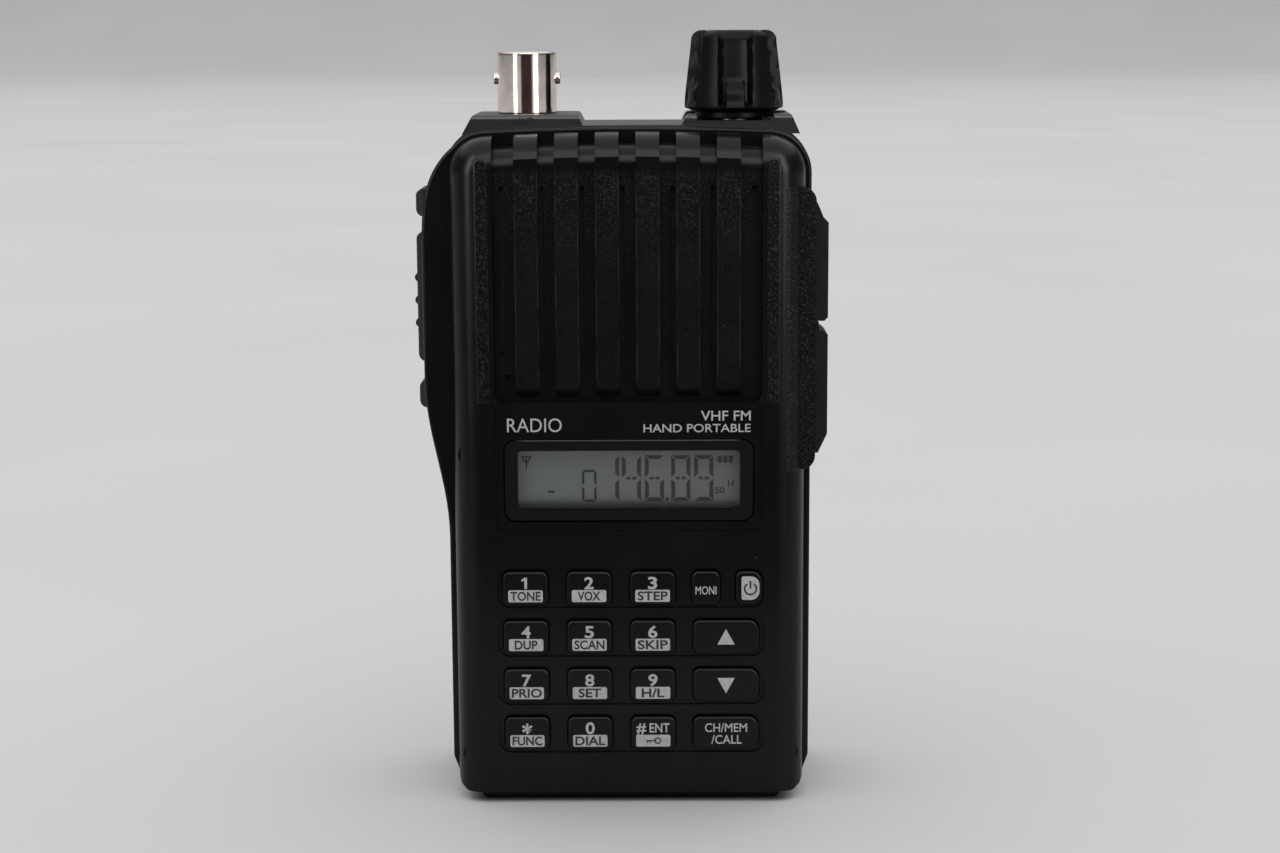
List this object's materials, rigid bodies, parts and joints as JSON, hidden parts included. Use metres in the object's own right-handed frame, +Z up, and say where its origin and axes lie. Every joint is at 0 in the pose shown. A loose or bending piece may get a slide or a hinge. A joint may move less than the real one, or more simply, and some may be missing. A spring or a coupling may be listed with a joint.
{
  "type": "handheld two-way radio",
  "caption": "Handheld VHF two-way radio: ribbed speaker grille, backlit display, keypad, volume knob, bayonet antenna socket, side talk button, jack cover, slide-off battery and belt clip.",
  "frame": {"origin": "middle of the base that the radio stands on", "axes": "+Z up towards the antenna socket, +Y from the front panel back to the battery, +X to the right of someone facing the display"},
  "size_m": [0.0671, 0.0378, 0.1253],
  "materials": {
    "case_plastic": "fine moulded grain",
    "chassis_metal": "satin black paint",
    "seal_rubber": "matt",
    "steel": "bright zinc",
    "mesh_cloth": "woven",
    "cone_film": "satin",
    "magnet": "plain",
    "lens_clear": "polished",
    "display": "smooth",
    "dome_steel": "bright",
    "board": "solder mask",
    "tinplate": "tinned",
    "nickel": "nickel plate",
    "insulator": "smooth",
    "gold": "plated",
    "knob_plastic": "soft touch",
    "button_rubber": "matt",
    "cover_rubber": "matt",
    "jack_plastic": "moulded",
    "battery_plastic": "fine moulded grain",
    "cell_can": "plain",
    "clip_plastic": "smooth",
    "key_plastic": "satin"
  },
  "bodies": {
    "radio": {"front_panel": "case_plastic", "rear_chassis": "chassis_metal", "case_gasket": "seal_rubber", "case_screws": "steel", "speaker_mesh": "mesh_cloth", "speaker_frame": "steel", "speaker_cone": "cone_film", "speaker_magnet": "magnet", "microphone": "seal_rubber", "lcd_lens": "lens_clear", "lcd_module": "display", "keypad_mat": "seal_rubber", "dome_sheet": "dome_steel", "keypad_board": "board", "main_board": "board", "board_shield": "tinplate", "antenna_shell": "nickel", "antenna_insulator": "insulator", "antenna_contact": "gold", "antenna_nut": "nickel", "volume_pot": "tinplate", "side_switches": "board", "jack_cover_base": "cover_rubber", "jack_cover_screw": "steel", "speaker_jack": "jack_plastic", "microphone_jack": "jack_plastic", "chassis_contacts": "gold", "clip_plate": "clip_plastic", "clip_pin": "steel", "clip_spring": "steel", "clip_screws": "steel"},
    "knob": {"volume_knob": "knob_plastic", "volume_shaft": "steel"},
    "talk_button": {"ptt_button": "button_rubber"},
    "upper_button": {"side_button_upper": "button_rubber"},
    "lower_button": {"side_button_lower": "button_rubber"},
    "cover_flap": {"jack_cover_flap": "cover_rubber"},
    "battery_pack": {"battery_case": "battery_plastic", "battery_cover": "battery_plastic", "battery_contacts": "gold", "battery_cells": "cell_can"},
    "catch": {"battery_catch": "jack_plastic"},
    "belt_clip": {"clip_lever": "clip_plastic"},
    "key_1_cap": {"key_1": "key_plastic"},
    "key_2_cap": {"key_2": "key_plastic"},
    "key_3_cap": {"key_3": "key_plastic"},
    "key_4_cap": {"key_4": "key_plastic"},
    "key_5_cap": {"key_5": "key_plastic"},
    "key_6_cap": {"key_6": "key_plastic"},
    "key_7_cap": {"key_7": "key_plastic"},
    "key_8_cap": {"key_8": "key_plastic"},
    "key_9_cap": {"key_9": "key_plastic"},
    "key_star_cap": {"key_star": "key_plastic"},
    "key_0_cap": {"key_0": "key_plastic"},
    "key_hash_cap": {"key_hash": "key_plastic"},
    "key_monitor_cap": {"key_monitor": "key_plastic"},
    "key_power_cap": {"key_power": "key_plastic"},
    "key_up_cap": {"key_up": "key_plastic"},
    "key_down_cap": {"key_down": "key_plastic"},
    "key_call_cap": {"key_call": "key_plastic"}
  },
  "joints": [
    {"name": "volume_turn", "type": "hinge", "parent": "radio", "child": "knob", "pos_m": [0.0173, 0, 0.112], "axis": [0, 0, 1], "range_deg": [-140, 140]},
    {"name": "talk_press", "type": "slide", "parent": "radio", "child": "talk_button", "axis": [1, 0, 0], "range_m": [0, 0.001], "stiffness_N_per_m": 1500, "springref_m": -0.0004},
    {"name": "upper_press", "type": "slide", "parent": "radio", "child": "upper_button", "axis": [1, 0, 0], "range_m": [0, 0.0006], "stiffness_N_per_m": 1500, "springref_m": -0.0003},
    {"name": "lower_press", "type": "slide", "parent": "radio", "child": "lower_button", "axis": [1, 0, 0], "range_m": [0, 0.0006], "stiffness_N_per_m": 1500, "springref_m": -0.0003},
    {"name": "cover_swing", "type": "hinge", "parent": "radio", "child": "cover_flap", "pos_m": [0.0319, -0.0029, 0.0778], "axis": [0, 1, 0], "range_deg": [0, 95], "stiffness_Nm_per_rad": 0.004, "springref_deg": -17.19},
    {"name": "battery_slide", "type": "slide", "parent": "radio", "child": "battery_pack", "axis": [0, 0, -1], "range_m": [0, 0.012]},
    {"name": "catch_travel", "type": "slide", "parent": "radio", "child": "catch", "axis": [0, -1, 0], "range_m": [0, 0.0018]},
    {"name": "clip_open", "type": "hinge", "parent": "radio", "child": "belt_clip", "pos_m": [0, 0.0186, 0.0975], "axis": [1, 0, 0], "range_deg": [0, 14], "stiffness_Nm_per_rad": 0.6, "springref_deg": -6.88},
    {"name": "key_1_press", "type": "slide", "parent": "radio", "child": "key_1_cap", "axis": [0, 1, 0], "range_m": [0, 0.0008], "stiffness_N_per_m": 600, "springref_m": -0.0003},
    {"name": "key_2_press", "type": "slide", "parent": "radio", "child": "key_2_cap", "axis": [0, 1, 0], "range_m": [0, 0.0008], "stiffness_N_per_m": 600, "springref_m": -0.0003},
    {"name": "key_3_press", "type": "slide", "parent": "radio", "child": "key_3_cap", "axis": [0, 1, 0], "range_m": [0, 0.0008], "stiffness_N_per_m": 600, "springref_m": -0.0003},
    {"name": "key_4_press", "type": "slide", "parent": "radio", "child": "key_4_cap", "axis": [0, 1, 0], "range_m": [0, 0.0008], "stiffness_N_per_m": 600, "springref_m": -0.0003},
    {"name": "key_5_press", "type": "slide", "parent": "radio", "child": "key_5_cap", "axis": [0, 1, 0], "range_m": [0, 0.0008], "stiffness_N_per_m": 600, "springref_m": -0.0003},
    {"name": "key_6_press", "type": "slide", "parent": "radio", "child": "key_6_cap", "axis": [0, 1, 0], "range_m": [0, 0.0008], "stiffness_N_per_m": 600, "springref_m": -0.0003},
    {"name": "key_7_press", "type": "slide", "parent": "radio", "child": "key_7_cap", "axis": [0, 1, 0], "range_m": [0, 0.0008], "stiffness_N_per_m": 600, "springref_m": -0.0003},
    {"name": "key_8_press", "type": "slide", "parent": "radio", "child": "key_8_cap", "axis": [0, 1, 0], "range_m": [0, 0.0008], "stiffness_N_per_m": 600, "springref_m": -0.0003},
    {"name": "key_9_press", "type": "slide", "parent": "radio", "child": "key_9_cap", "axis": [0, 1, 0], "range_m": [0, 0.0008], "stiffness_N_per_m": 600, "springref_m": -0.0003},
    {"name": "key_star_press", "type": "slide", "parent": "radio", "child": "key_star_cap", "axis": [0, 1, 0], "range_m": [0, 0.0008], "stiffness_N_per_m": 600, "springref_m": -0.0003},
    {"name": "key_0_press", "type": "slide", "parent": "radio", "child": "key_0_cap", "axis": [0, 1, 0], "range_m": [0, 0.0008], "stiffness_N_per_m": 600, "springref_m": -0.0003},
    {"name": "key_hash_press", "type": "slide", "parent": "radio", "child": "key_hash_cap", "axis": [0, 1, 0], "range_m": [0, 0.0008], "stiffness_N_per_m": 600, "springref_m": -0.0003},
    {"name": "key_monitor_press", "type": "slide", "parent": "radio", "child": "key_monitor_cap", "axis": [0, 1, 0], "range_m": [0, 0.0008], "stiffness_N_per_m": 600, "springref_m": -0.0003},
    {"name": "key_power_press", "type": "slide", "parent": "radio", "child": "key_power_cap", "axis": [0, 1, 0], "range_m": [0, 0.0008], "stiffness_N_per_m": 600, "springref_m": -0.0003},
    {"name": "key_up_press", "type": "slide", "parent": "radio", "child": "key_up_cap", "axis": [0, 1, 0], "range_m": [0, 0.0008], "stiffness_N_per_m": 600, "springref_m": -0.0003},
    {"name": "key_down_press", "type": "slide", "parent": "radio", "child": "key_down_cap", "axis": [0, 1, 0], "range_m": [0, 0.0008], "stiffness_N_per_m": 600, "springref_m": -0.0003},
    {"name": "key_call_press", "type": "slide", "parent": "radio", "child": "key_call_cap", "axis": [0, 1, 0], "range_m": [0, 0.0008], "stiffness_N_per_m": 600, "springref_m": -0.0003}
  ],
  "couplings": [
    {"joint": "catch_travel", "follows": "battery_slide", "ratio": 0.15}
  ]
}
